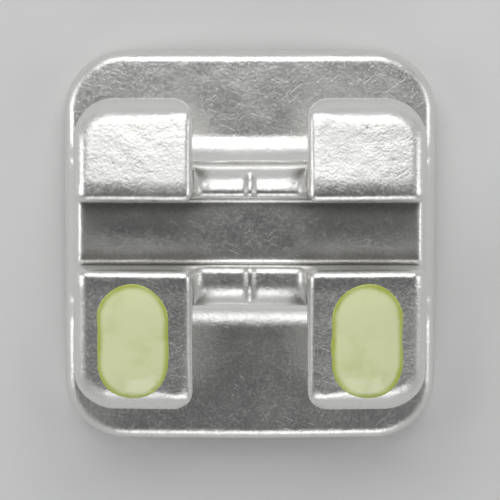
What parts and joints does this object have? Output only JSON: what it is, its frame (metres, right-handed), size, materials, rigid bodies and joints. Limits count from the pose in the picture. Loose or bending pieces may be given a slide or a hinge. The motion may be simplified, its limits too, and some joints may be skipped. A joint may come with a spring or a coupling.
{
  "type": "orthodontic bracket",
  "caption": "Tie-wing bracket that is bonded to a lower front tooth and guides an archwire through its slot.",
  "frame": {"origin": "under the middle of the bonding pad, on the plane that the pad's four corners stand on", "axes": "+X along the archwire slot, +Y occlusal, towards the plain wings, +Z labial, away from the tooth"},
  "size_m": [0.0032, 0.0034, 0.0019],
  "materials": {
    "steel": "fine tumbled satin, bright",
    "enamel": "glossy yellow-green enamel"
  },
  "bodies": {
    "root": {"bracket": "steel", "mark_mesial": "enamel", "mark_distal": "enamel"}
  },
  "joints": []
}
